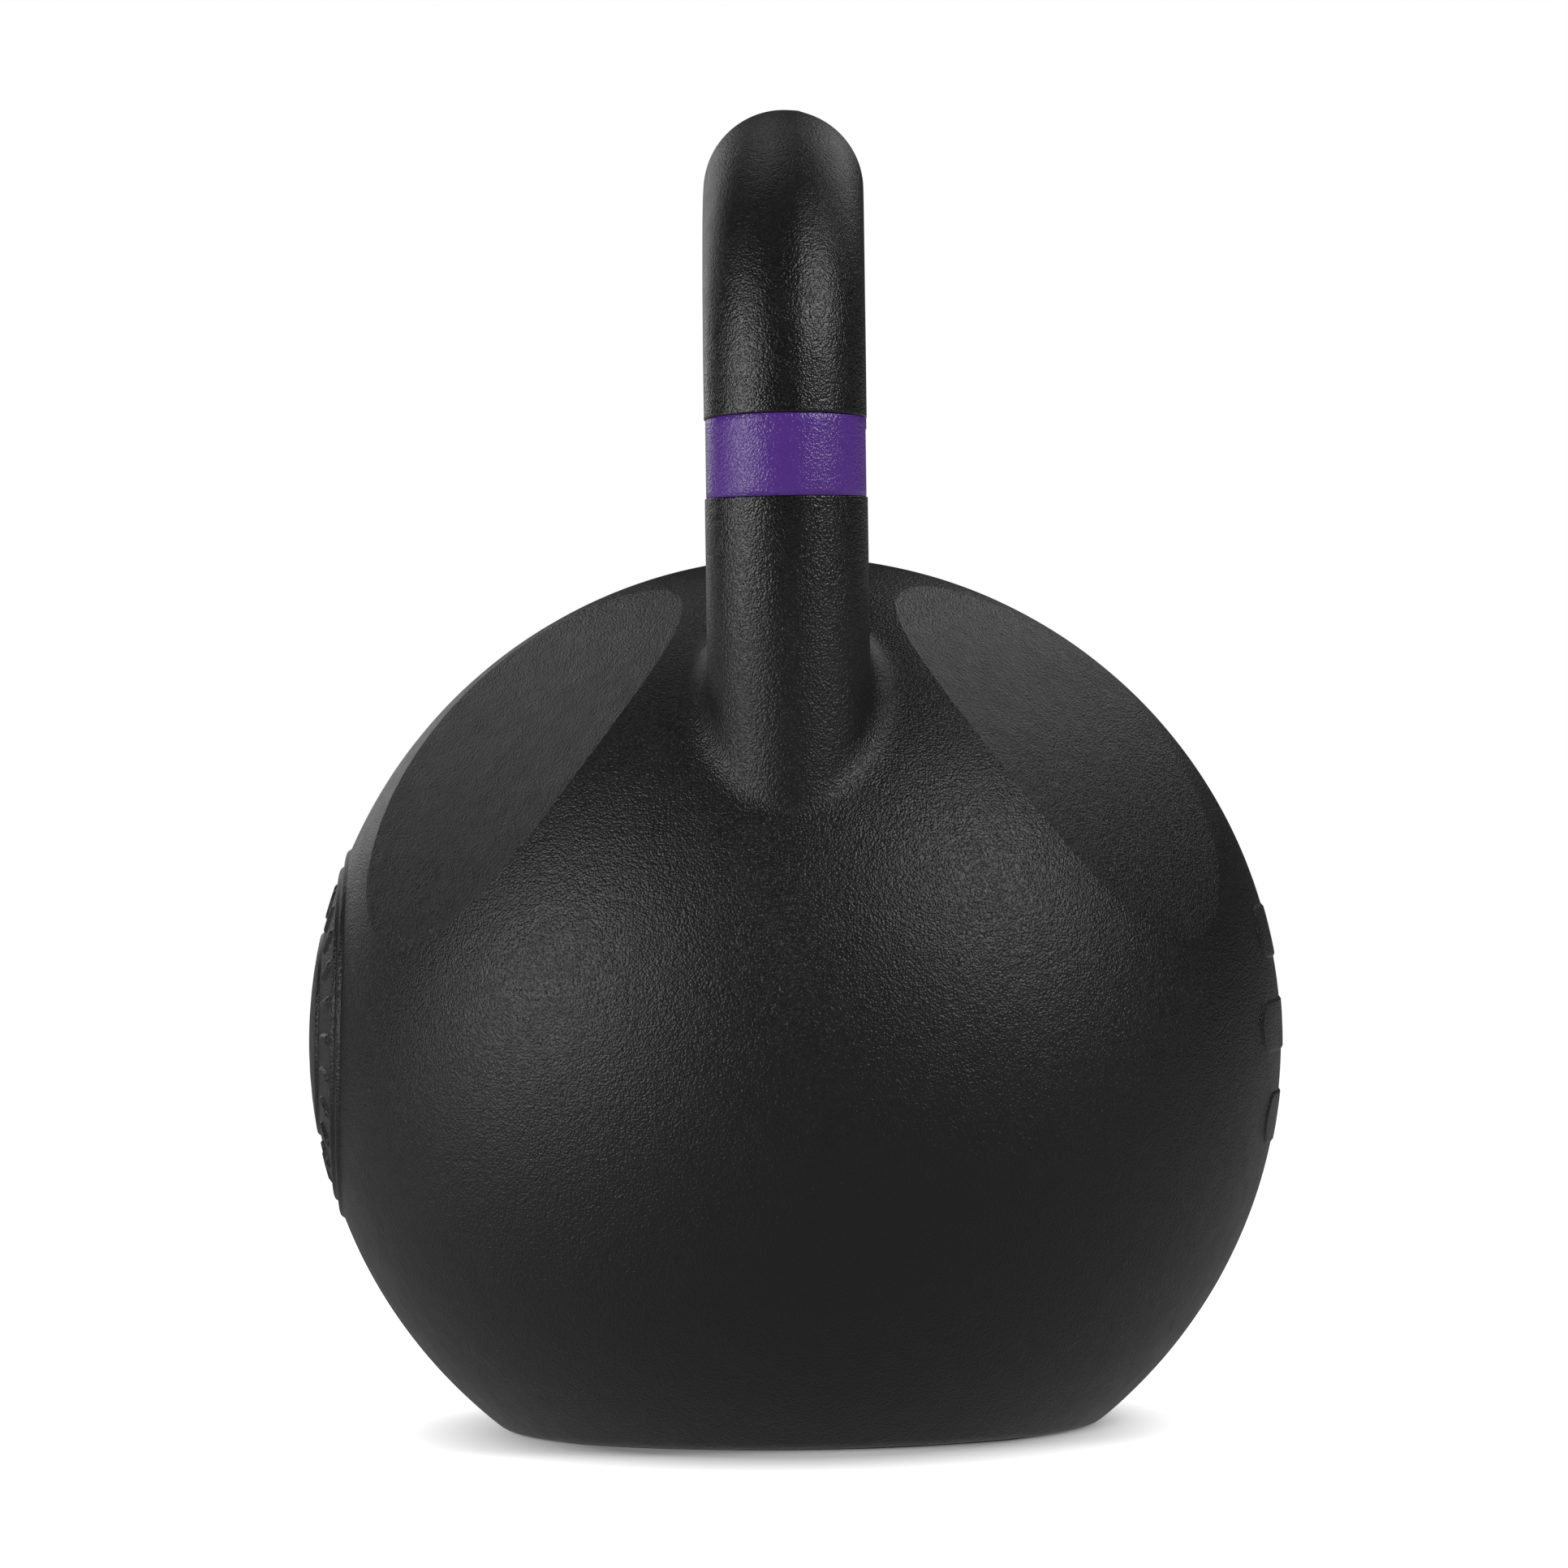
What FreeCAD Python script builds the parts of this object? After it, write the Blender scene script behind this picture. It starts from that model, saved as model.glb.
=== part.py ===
import FreeCAD, Part
import math
import os

# A competition-style kettlebell: a hollow one-piece iron casting (ball, two horns and a
# grip), a steel plug that closes the core hole in its base, and a coloured weight band
# let into each horn.
# Millimetres. +Z is up and the origin is the centre of the flat base. X runs along the
# grip. The ring badge is on the -Y face and the bar badge on the +Y face.

# ---- ball ----
ball_diameter = 210.0
base_diameter = 127.6  # where the ball would meet the floor if its edge weren't rounded
base_edge_radius = 7.0
side_wall = 24.5  # at the ball's waist
base_wall = 12.0  # under the cavity

# ---- forearm facets, one in each upper quarter of the ball ----
facet_length = 100.0  # down the ball
facet_width = 64.0  # round the ball
facet_azimuth = 52.7  # degrees from the grip's axis
facet_elevation = 41.0  # degrees above the ball's waist
facet_roll = 5.2  # degrees that its straight direction dips towards the horn
facet_edge_radius = 4.0

# ---- handle ----
handle_diameter = 34.2
window_height = 61.2  # from the ball's top to the grip's underside
horn_setback = 13.5  # from the ball's side to the horn's outer face
horn_lean_angle = 6.3  # degrees that a horn leans in before its corner
horn_lean_radius = 295.0
corner_radius = 45.0  # on the handle's centre line
root_fillet_radius = 9.0

# ---- weight bands ----
band_width = 16.5
band_offset = 6.2  # along the horn, from the start of its lean
band_thickness = 0.8
band_sink = 0.3  # how far a band's face lies below the horn's
band_end_gap = 0.05  # between a band and each end of its groove

# ---- core plug ----
plug_head_diameter = 56.0
plug_head_thickness = 5.0
plug_spigot_diameter = 44.0
plug_fit = 0.2  # radial gap round the head and the spigot
plug_recess = 0.5  # from the base up to the plug's face
plug_chamfer = 0.8
spanner_hole_diameter = 6.0
spanner_hole_depth = 3.5
spanner_hole_spacing = 36.0

# ---- cast relief ----
ring_relief_height = 0.6
bar_relief_height = 0.4
relief_root = 1.0  # how far the relief reaches into the ball
badge_rise = 3.0  # badge centres above the ball's waist
ridge_outer_radii = (39.9, 36.2)  # two concentric ridges
ridge_width = 1.2
tick_count = 24
tick_inner_radius = 26.0
tick_outer_radius = 32.5
tick_width = 2.2
disc_radius = 22.0
bar_height = 11.0
bar_spacing = 20.0
bar_lengths = (50.0, 66.0, 50.0)  # top to bottom

# ---- worked out from the sizes above ----
ball_radius = ball_diameter / 2
base_radius = base_diameter / 2
ball_centre_height = math.sqrt(ball_radius**2 - base_radius**2)
ball_centre = FreeCAD.Vector(0, 0, ball_centre_height)
cavity_radius = ball_radius - side_wall
cavity_centre = FreeCAD.Vector(0, 0, base_wall + cavity_radius)
handle_radius = handle_diameter / 2
horn_x = ball_radius - horn_setback - handle_radius
grip_height = ball_centre_height + ball_radius + window_height + handle_radius
groove_radius = handle_radius - band_sink - band_thickness
badge_height = ball_centre_height + badge_rise
badge_tool_start = ball_radius / 2  # the badges' cutting tools run out from inside the ball
badge_tool_length = ball_radius

UP = FreeCAD.Vector(0, 0, 1)
TOOL_ROOM = 10.0  # how far a cutting tool runs past what it cuts
SAME_PLACE = 0.01  # two places nearer than this are taken as the same


def horn_line():
    """Points on the centre line of the +X half of the handle, from the ball to the grip."""
    lean = math.radians(horn_lean_angle)
    corner_centre_z = grip_height - corner_radius
    corner_start_z = corner_centre_z + corner_radius * math.sin(lean)
    lean_start_z = corner_start_z - horn_lean_radius * math.sin(lean)
    lean_centre_x = horn_x - horn_lean_radius
    corner_start_x = lean_centre_x + horn_lean_radius * math.cos(lean)
    corner_centre_x = corner_start_x - corner_radius * math.cos(lean)

    def on_lean(angle):
        x = lean_centre_x + horn_lean_radius * math.cos(angle)
        z = lean_start_z + horn_lean_radius * math.sin(angle)
        return FreeCAD.Vector(x, 0, z)

    def on_corner(angle):
        x = corner_centre_x + corner_radius * math.cos(angle)
        z = corner_centre_z + corner_radius * math.sin(angle)
        return FreeCAD.Vector(x, 0, z)

    return {
        "root": FreeCAD.Vector(horn_x, 0, ball_centre_height),
        "lean_start": on_lean(0.0),
        "lean_middle": on_lean(lean / 2),
        "lean_centre": FreeCAD.Vector(lean_centre_x, 0, lean_start_z),
        "corner_start": on_corner(lean),
        "corner_middle": on_corner((lean + math.pi / 2) / 2),
        "corner_end": on_corner(math.pi / 2),
    }


def other_side(point):
    """The same point on the other half of the handle."""
    return FreeCAD.Vector(-point.x, point.y, point.z)


def build_handle():
    """Both horns and the grip: one round bar along lines and tangent arcs."""
    near = horn_line()
    far = {name: other_side(point) for name, point in near.items()}
    path = Part.Wire(
        [
            Part.LineSegment(near["root"], near["lean_start"]).toShape(),
            Part.Arc(near["lean_start"], near["lean_middle"], near["corner_start"]).toShape(),
            Part.Arc(near["corner_start"], near["corner_middle"], near["corner_end"]).toShape(),
            Part.LineSegment(near["corner_end"], far["corner_end"]).toShape(),
            Part.Arc(far["corner_end"], far["corner_middle"], far["corner_start"]).toShape(),
            Part.Arc(far["corner_start"], far["lean_middle"], far["lean_start"]).toShape(),
            Part.LineSegment(far["lean_start"], far["root"]).toShape(),
        ]
    )
    section = Part.Wire(Part.makeCircle(handle_radius, near["root"], UP))
    return path.makePipeShell([section], True, False)


def facet_cylinder(side_x, side_y):
    """A cylinder whose wall is the facet that faces (side_x, side_y) and up."""
    azimuth = math.radians(facet_azimuth)
    elevation = math.radians(facet_elevation)
    roll = math.radians(facet_roll)
    out_x = side_x * math.cos(azimuth)
    out_y = side_y * math.sin(azimuth)
    facing = FreeCAD.Vector(
        out_x * math.cos(elevation), out_y * math.cos(elevation), math.sin(elevation)
    )
    down = FreeCAD.Vector(
        out_x * math.sin(elevation), out_y * math.sin(elevation), -math.cos(elevation)
    )
    level = FreeCAD.Vector(side_x * math.sin(azimuth), -side_y * math.cos(azimuth), 0)
    axis = level * math.cos(roll) + down * math.sin(roll)

    half_length = facet_length / 2
    distance = math.sqrt(ball_radius**2 - (facet_width / 2) ** 2)
    rise = distance - math.sqrt(ball_radius**2 - half_length**2)
    curve_radius = (half_length**2 + rise**2) / (2 * rise)
    reach = ball_radius + TOOL_ROOM
    start = ball_centre + facing * (distance - curve_radius) - axis * reach
    return Part.makeCylinder(curve_radius, 2 * reach, start, axis)


def build_ball():
    """The ball with its flat base and its four facets, and their edges rounded."""
    reach = ball_radius + TOOL_ROOM
    above_floor = Part.makeBox(
        2 * reach, 2 * reach, 2 * reach + TOOL_ROOM, FreeCAD.Vector(-reach, -reach, 0)
    )
    ball = Part.makeSphere(ball_radius, ball_centre).common(above_floor)
    for side_x in (1, -1):
        for side_y in (1, -1):
            ball = ball.common(facet_cylinder(side_x, side_y))
    ball = ball.Solids[0]

    base_edges = [edge for edge in ball.Edges if edge.BoundBox.ZMax < SAME_PLACE]
    ball = ball.makeFillet(base_edge_radius, base_edges)
    facet_edges = [edge for edge in ball.Edges if is_facet_edge(edge)]
    return ball.makeFillet(facet_edge_radius, facet_edges)


def is_facet_edge(edge):
    """Whether an edge is a facet's whole outline: a closed curve that lies off both axes."""
    centre = edge.CenterOfMass
    off_axes = abs(centre.x) > SAME_PLACE and abs(centre.y) > SAME_PLACE
    return off_axes and edge.isClosed() and edge.Length > facet_length


def root_edges(casting):
    """The edges where the horns meet the ball."""
    found = []
    for edge in casting.Edges:
        middle = edge.valueAt((edge.FirstParameter + edge.LastParameter) / 2)
        from_horn_axis = math.hypot(abs(middle.x) - horn_x, middle.y)
        on_horn = abs(from_horn_axis - handle_radius) < SAME_PLACE
        on_ball = abs(middle.distanceToPoint(ball_centre) - ball_radius) < SAME_PLACE
        if on_horn and on_ball:
            found.append(edge)
    return found


def horn_sleeve(inner_radius, outer_radius, end_gap, side_x):
    """A short sleeve round a horn's lean at the band's place, shorter at each end by end_gap."""
    line = horn_line()
    centre = line["lean_centre"]
    start = line["lean_start"]
    axis = FreeCAD.Vector(0, -1, 0)
    if side_x < 0:
        centre = other_side(centre)
        start = other_side(start)
        axis = FreeCAD.Vector(0, 1, 0)
    first = math.degrees((band_offset + end_gap) / horn_lean_radius)
    turn = math.degrees((band_width - 2 * end_gap) / horn_lean_radius)
    outer = Part.Face(Part.Wire(Part.makeCircle(outer_radius, start, UP)))
    inner = Part.Face(Part.Wire(Part.makeCircle(inner_radius, start, UP)))
    section = outer.cut(inner).Faces[0]
    section.rotate(centre, axis, first)
    return section.revolve(centre, axis, turn)


def build_band(side_x):
    """A coloured weight band, in the groove round one horn."""
    return horn_sleeve(groove_radius, groove_radius + band_thickness, band_end_gap, side_x)


def build_core_tool():
    """What is taken out of the casting: the cavity, the core hole and the plug's seat."""
    cavity = Part.makeSphere(cavity_radius, cavity_centre)
    hole = Part.makeCylinder(plug_spigot_diameter / 2 + plug_fit, base_wall + TOOL_ROOM)
    seat_depth = plug_recess + plug_head_thickness
    seat = Part.makeCylinder(plug_head_diameter / 2 + plug_fit, seat_depth)
    return cavity.fuse(hole).fuse(seat)


def build_plug():
    """The steel plug: a head in the base's seat and a spigot up into the core hole."""
    head = Part.makeCylinder(
        plug_head_diameter / 2, plug_head_thickness, FreeCAD.Vector(0, 0, plug_recess)
    )
    spigot = Part.makeCylinder(
        plug_spigot_diameter / 2, base_wall - plug_recess, FreeCAD.Vector(0, 0, plug_recess)
    )
    plug = head.fuse(spigot).removeSplitter()
    for side in (1, -1):
        centre = FreeCAD.Vector(side * spanner_hole_spacing / 2, 0, plug_recess)
        hole = Part.makeCylinder(spanner_hole_diameter / 2, spanner_hole_depth, centre)
        plug = plug.cut(hole)
    plug = plug.Solids[0]
    rims = [edge for edge in plug.Edges if is_plug_rim(edge)]
    return plug.makeChamfer(plug_chamfer, rims)


def is_plug_rim(edge):
    """Whether an edge is the rim of the plug's face or the top of its spigot."""
    if not edge.isClosed() or not hasattr(edge.Curve, "Radius"):
        return False
    height = edge.CenterOfMass.z
    head_wide = abs(edge.Curve.Radius - plug_head_diameter / 2) < SAME_PLACE
    at_face = abs(height - plug_recess) < SAME_PLACE
    at_top = abs(height - base_wall) < SAME_PLACE
    return at_top or (at_face and head_wide)


def badge_shell(relief_height):
    """A thin layer round the ball that a badge's relief is cut from."""
    outside = Part.makeSphere(ball_radius + relief_height, ball_centre)
    inside = Part.makeSphere(ball_radius - relief_root, ball_centre)
    return outside.cut(inside)


def badge_cylinder(radius, side_y):
    """A cylinder that runs from inside the ball out through one badge's centre."""
    start = FreeCAD.Vector(0, side_y * badge_tool_start, badge_height)
    direction = FreeCAD.Vector(0, side_y, 0)
    return Part.makeCylinder(radius, badge_tool_length, start, direction)


def badge_ring(outer_radius, inner_radius, side_y):
    """A tube round one badge's centre."""
    return badge_cylinder(outer_radius, side_y).cut(badge_cylinder(inner_radius, side_y))


def build_ring_badge():
    """The -Y badge: two ridges, a ring of ticks and a raised disc."""
    pieces = [badge_cylinder(disc_radius, -1)]
    for outer in ridge_outer_radii:
        pieces.append(badge_ring(outer, outer - ridge_width, -1))
    centre = FreeCAD.Vector(0, 0, badge_height)
    length = tick_outer_radius - tick_inner_radius
    far_end = badge_tool_start + badge_tool_length
    corner = FreeCAD.Vector(-tick_width / 2, -far_end, badge_height + tick_inner_radius)
    for index in range(tick_count):
        tick = Part.makeBox(tick_width, badge_tool_length, length, corner)
        tick.rotate(centre, FreeCAD.Vector(0, 1, 0), index * 360 / tick_count)
        pieces.append(tick)
    return badge_shell(ring_relief_height).common(Part.makeCompound(pieces))


def build_bar_badge():
    """The +Y badge: a column of round-ended bars."""
    pieces = []
    middle_index = (len(bar_lengths) - 1) / 2
    end_radius = bar_height / 2
    outwards = FreeCAD.Vector(0, 1, 0)
    for index, length in enumerate(bar_lengths):
        height = badge_height + (middle_index - index) * bar_spacing
        half = length / 2 - end_radius
        corner = FreeCAD.Vector(-half, badge_tool_start, height - end_radius)
        bar = Part.makeBox(2 * half, badge_tool_length, bar_height, corner)
        for end in (-half, half):
            start = FreeCAD.Vector(end, badge_tool_start, height)
            round_end = Part.makeCylinder(end_radius, badge_tool_length, start, outwards)
            bar = bar.fuse(round_end)
        pieces.append(bar.removeSplitter())
    return badge_shell(bar_relief_height).common(Part.makeCompound(pieces))


def build_casting():
    """The one-piece hollow casting, with its grooves, core hole and relief."""
    casting = build_ball().fuse(build_handle()).Solids[0]
    casting = casting.makeFillet(root_fillet_radius, root_edges(casting))
    for side_x in (1, -1):
        groove = horn_sleeve(groove_radius, handle_radius + TOOL_ROOM, 0.0, side_x)
        casting = casting.cut(groove)
    casting = casting.cut(build_core_tool())
    casting = casting.fuse([build_ring_badge(), build_bar_badge()])
    return casting.Solids[0]


def save(shape, name):
    """Writes a node's STEP file."""
    shape.exportStep(os.path.join("parts", name + ".step"))


if __name__ == "__main__":
    os.makedirs("parts", exist_ok=True)
    save(build_casting(), "bell_casting")
    save(build_plug(), "core_plug")
    save(build_band(1), "weight_band_right")
    save(build_band(-1), "weight_band_left")
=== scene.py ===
import math

import bmesh
import bpy
import numpy as np
from bpy.props import FloatProperty, FloatVectorProperty, IntProperty, PointerProperty
from mathutils import Matrix, Vector


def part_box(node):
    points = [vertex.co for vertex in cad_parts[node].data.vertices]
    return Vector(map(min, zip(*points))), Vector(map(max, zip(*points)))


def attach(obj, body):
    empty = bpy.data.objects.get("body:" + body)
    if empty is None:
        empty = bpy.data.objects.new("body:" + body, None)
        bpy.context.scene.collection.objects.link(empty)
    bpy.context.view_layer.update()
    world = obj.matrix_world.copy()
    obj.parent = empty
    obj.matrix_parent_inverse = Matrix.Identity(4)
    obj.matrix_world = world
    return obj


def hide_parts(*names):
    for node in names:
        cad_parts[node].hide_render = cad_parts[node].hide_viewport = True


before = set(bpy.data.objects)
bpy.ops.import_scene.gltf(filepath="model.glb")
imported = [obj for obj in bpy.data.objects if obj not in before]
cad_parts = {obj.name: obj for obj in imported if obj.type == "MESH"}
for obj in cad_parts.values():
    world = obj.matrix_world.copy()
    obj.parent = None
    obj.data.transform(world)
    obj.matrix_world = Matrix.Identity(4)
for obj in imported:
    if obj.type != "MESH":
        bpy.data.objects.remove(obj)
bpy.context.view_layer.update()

bl_info = {
    "name": "Kettlebell looks",
    "version": (1, 0, 0),
    "blender": (4, 5, 0),
    "location": "3D View > Sidebar > Kettlebell",
    "description": "Builds the coated casting, badges, weight bands and studio of a kettlebell",
    "category": "Object",
}

# The whole kettlebell stands on its base at the origin. X runs along the grip.
CASTING = "bell_casting"
PLUG = "core_plug"
BANDS = {1: "weight_band_right", -1: "weight_band_left"}
CASTING_LOW, CASTING_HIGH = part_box(CASTING)
PLUG_LOW, PLUG_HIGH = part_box(PLUG)
BALL_RADIUS = (CASTING_HIGH.x - CASTING_LOW.x) / 2
BODY = "root"
COAT_MATERIAL = "textured_black_coat"
MM = 0.001


# ------------------------ sizes and colours


def length_property(name, description, default):
    """A setting that is a length, shown to a hundredth of a millimetre."""
    return FloatProperty(name=name, description=description, default=default, unit="LENGTH", precision=5)


def angle_property(name, description, degrees):
    """A setting that is an angle, with its default given in degrees."""
    default = math.radians(degrees)
    return FloatProperty(name=name, description=description, default=default, subtype="ANGLE")


def share_property(name, description, default):
    """A setting that runs from 0 to 1."""
    return FloatProperty(name=name, description=description, default=default, min=0.0, max=1.0)


def power_property(name, description, default):
    """A setting that is a light's power."""
    return FloatProperty(name=name, description=description, default=default, subtype="POWER")


def colour_property(name, description, default):
    """A setting that is a colour."""
    return FloatVectorProperty(name=name, description=description, default=default, subtype="COLOR")


class CastingSizes(bpy.types.PropertyGroup):
    """The shape of the iron casting under its coat."""

    ball_radius: length_property("Ball radius", "Radius of the ball", BALL_RADIUS)
    base_radius: length_property(
        "Base radius", "Where the ball would meet the floor if its edge weren't rounded", 63.8 * MM
    )
    base_edge: length_property("Base edge", "How far the rounding of the base's edge reaches", 1.6 * MM)
    facet_length: length_property("Facet length", "Length of a forearm facet down the ball", 100.0 * MM)
    facet_width: length_property("Facet width", "Width of a forearm facet round the ball", 64.0 * MM)
    facet_azimuth: angle_property(
        "Facet azimuth", "Direction that a facet faces, from the grip's axis", 52.7
    )
    facet_elevation: angle_property("Facet elevation", "How far above level a facet faces", 41.0)
    facet_roll: angle_property(
        "Facet roll", "How far a facet's straight direction dips towards the horn", 5.2
    )
    root_fillet: length_property(
        "Root fillet", "Radius of the fillet where a horn meets the ball", 9.0 * MM
    )
    waviness: length_property(
        "Waviness", "Height of the long waves that casting leaves in the surface", 0.05 * MM
    )
    mesh_spacing: length_property(
        "Mesh spacing", "Distance between neighbouring points of the ball's mesh", 1.6 * MM
    )


class HandleSizes(bpy.types.PropertyGroup):
    """The bent round bar that is the horns and the grip."""

    radius: length_property("Radius", "Radius of the bar", 17.1 * MM)
    horn_setback: length_property(
        "Horn setback", "From the ball's side to a horn's outer face", 13.5 * MM
    )
    lean_angle: angle_property("Lean angle", "How far a horn leans in before its corner", 6.3)
    lean_radius: length_property("Lean radius", "Radius of the gentle arc of the lean", 295.0 * MM)
    corner_radius: length_property(
        "Corner radius", "Radius of the corners on the bar's centre line", 45.0 * MM
    )
    band_offset: length_property("Band offset", "From the start of the lean to a weight band", 6.2 * MM)
    band_width: length_property("Band width", "Width of a weight band along the horn", 16.5 * MM)
    band_sink: length_property("Band sink", "How far a band's face lies below the black coat", 0.3 * MM)
    seam_height: length_property(
        "Seam height", "Height of the mould's parting line along the bar", 0.12 * MM
    )


class BadgeSizes(bpy.types.PropertyGroup):
    """The cast relief on both faces of the ball."""

    rise: length_property("Rise", "Height of the badges' centres above the ball's", 3.0 * MM)
    ring_height: length_property(
        "Ring badge height", "How far the ring badge stands out of the ball", 0.58 * MM
    )
    bar_relief: length_property(
        "Bar badge height", "How far the bar badge stands out of the ball", 0.38 * MM
    )
    ridge_width: length_property("Ridge width", "Width of the ring badge's two ridges", 1.2 * MM)
    outer_ridge: length_property(
        "Outer ridge radius", "Outer radius of the ring badge's outer ridge", 39.9 * MM
    )
    inner_ridge: length_property(
        "Inner ridge radius", "Outer radius of the ring badge's inner ridge", 36.2 * MM
    )
    disc_radius: length_property("Disc radius", "Radius of the ring badge's raised disc", 22.0 * MM)
    tick_count: IntProperty(
        name="Ticks", description="Number of ticks round the ring badge", default=24, min=3
    )
    tick_inner: length_property(
        "Tick start", "Distance from the badge's centre to where the ticks start", 26.0 * MM
    )
    tick_outer: length_property(
        "Tick end", "Distance from the badge's centre to where the ticks end", 32.5 * MM
    )
    tick_width: length_property("Tick width", "Width of a tick", 2.2 * MM)
    bar_height: length_property("Bar height", "Height of each bar of the bar badge", 11.0 * MM)
    bar_spacing: length_property("Bar spacing", "Distance between the bars of the bar badge", 20.0 * MM)
    bar_lengths: FloatVectorProperty(
        name="Bar lengths",
        description="Lengths of the bars of the bar badge, top to bottom",
        default=(50.0 * MM, 66.0 * MM, 50.0 * MM),
        size=3,
        unit="LENGTH",
    )


class FinishLooks(bpy.types.PropertyGroup):
    """Colours and textures of the coats and the steel."""

    coat_dark: colour_property(
        "Coat, dark", "Darker colour of the black powder coat", (0.0062, 0.0062, 0.0066)
    )
    coat_light: colour_property(
        "Coat, light", "Lighter colour of the black powder coat", (0.0105, 0.0105, 0.0110)
    )
    grain_size: length_property("Grain size", "Size of the powder coat's pebbles", 0.44 * MM)
    grain_height: length_property("Grain height", "Height of the powder coat's pebbles", 0.20 * MM)
    bar_grain_share: share_property(
        "Bar grain share",
        "Height of the pebbles on the bar and its bands, as a share of the ball's",
        0.80,
    )
    ball_roughness: share_property("Ball roughness", "Roughness of the coat on the ball", 0.40)
    grip_roughness: share_property("Grip roughness", "Roughness of the coat on the horns and grip", 0.25)
    top_roughness: share_property(
        "Top roughness",
        "Roughness of the coat on the top of the grip, where hands and chalk dull it",
        0.40,
    )
    band_colour: colour_property("Band colour", "Colour of the weight bands", (0.125, 0.040, 0.340))
    steel_colour: colour_property("Steel colour", "Colour of the bare steel plug", (0.42, 0.42, 0.43))


class StudioSettings(bpy.types.PropertyGroup):
    """The camera and the lights."""

    camera_distance: length_property("Camera distance", "From the ball's centre to the camera", 2.2)
    camera_height: length_property("Camera height", "Height of the camera above the floor", 0.181)
    camera_side: length_property(
        "Camera side", "How far to the side of its aim the camera stands", 0.0170
    )
    aim_height: length_property("Aim height", "Height that the camera looks at", 0.1392)
    aim_side: length_property(
        "Aim side", "How far to the side of the ball's centre the camera looks", -0.0019
    )
    frame_width: length_property(
        "Frame width", "Width of what the camera sees at the ball's centre", 0.3398
    )
    camera_roll: angle_property("Camera roll", "Turn of the camera about its own axis", -0.80)
    left_power: power_property("Left softbox", "Power of the main softbox to the camera's left", 5.8)
    low_left_power: power_property(
        "Low left softbox", "Power of the low softbox further round to the left", 1.95
    )
    right_power: power_property("Right softbox", "Power of the main softbox to the camera's right", 7.1)
    rear_left_power: power_property(
        "Rear left softbox", "Power of the softbox behind the kettlebell, to the left", 1.3
    )
    rear_right_power: power_property(
        "Rear right softbox", "Power of the softbox behind the kettlebell, to the right", 1.0
    )
    top_power: power_property("Top softbox", "Power of the softbox overhead, behind the kettlebell", 0.8)
    floor_glow: FloatProperty(
        name="Floor glow",
        description="How bright the lit floor looks in the coat from below",
        default=0.33,
        min=0.0,
    )
    room_glow: FloatProperty(
        name="Room glow",
        description="How bright the room looks in the coat from above",
        default=0.01,
        min=0.0,
    )


SETTINGS = {
    "bell_casting_sizes": CastingSizes,
    "bell_handle_sizes": HandleSizes,
    "bell_badge_sizes": BadgeSizes,
    "bell_finish_looks": FinishLooks,
    "bell_studio_settings": StudioSettings,
}


# ------------------------ the casting's shape


def ball_centre_height(sizes):
    """Height of the ball's centre over its flat base."""
    return math.sqrt(sizes.ball_radius**2 - sizes.base_radius**2)


def horn_x(casting, handle):
    """Distance of a horn's centre line from the ball's middle."""
    return casting.ball_radius - handle.horn_setback - handle.radius


def soft_max(a, b, depth):
    """The larger of two arrays, blended where they differ by less than depth."""
    near = np.maximum(depth - np.abs(a - b), 0.0) / depth
    return np.maximum(a, b) + near**2 * depth / 4


def facet_frames(sizes):
    """For each facet: a point on its cylinder's axis, the axis's direction and its radius."""
    azimuth, elevation, roll = sizes.facet_azimuth, sizes.facet_elevation, sizes.facet_roll
    half = sizes.facet_length / 2
    distance = math.sqrt(sizes.ball_radius**2 - (sizes.facet_width / 2) ** 2)
    rise = distance - math.sqrt(sizes.ball_radius**2 - half**2)
    curve = (half**2 + rise**2) / (2 * rise)
    centre = np.array([0.0, 0.0, ball_centre_height(sizes)])
    frames = []
    for side_x in (1, -1):
        for side_y in (1, -1):
            out = np.array([side_x * math.cos(azimuth), side_y * math.sin(azimuth), 0.0])
            level = np.array([side_x * math.sin(azimuth), -side_y * math.cos(azimuth), 0.0])
            up = np.array([0.0, 0.0, 1.0])
            facing = out * math.cos(elevation) + up * math.sin(elevation)
            down = out * math.sin(elevation) - up * math.cos(elevation)
            axis = level * math.cos(roll) + down * math.sin(roll)
            frames.append((centre + facing * (distance - curve), axis, curve))
    return frames


def facet_distance(points, facet):
    """Distance outside the cylinder whose wall is a facet."""
    origin, axis, radius = facet
    arm = points - origin
    arm = arm - np.outer(arm @ axis, axis)
    return np.linalg.norm(arm, axis=1) - radius


def ball_distance(points, sizes):
    """Distance outside the ball with its base, before its facets, for an array of points."""
    centre = np.array([0.0, 0.0, ball_centre_height(sizes)])
    distance = np.linalg.norm(points - centre, axis=1) - sizes.ball_radius
    return soft_max(distance, -points[:, 2], sizes.base_edge)


PATH_STEPS = 1440
POINTS_AT_ONCE = 2000


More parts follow.
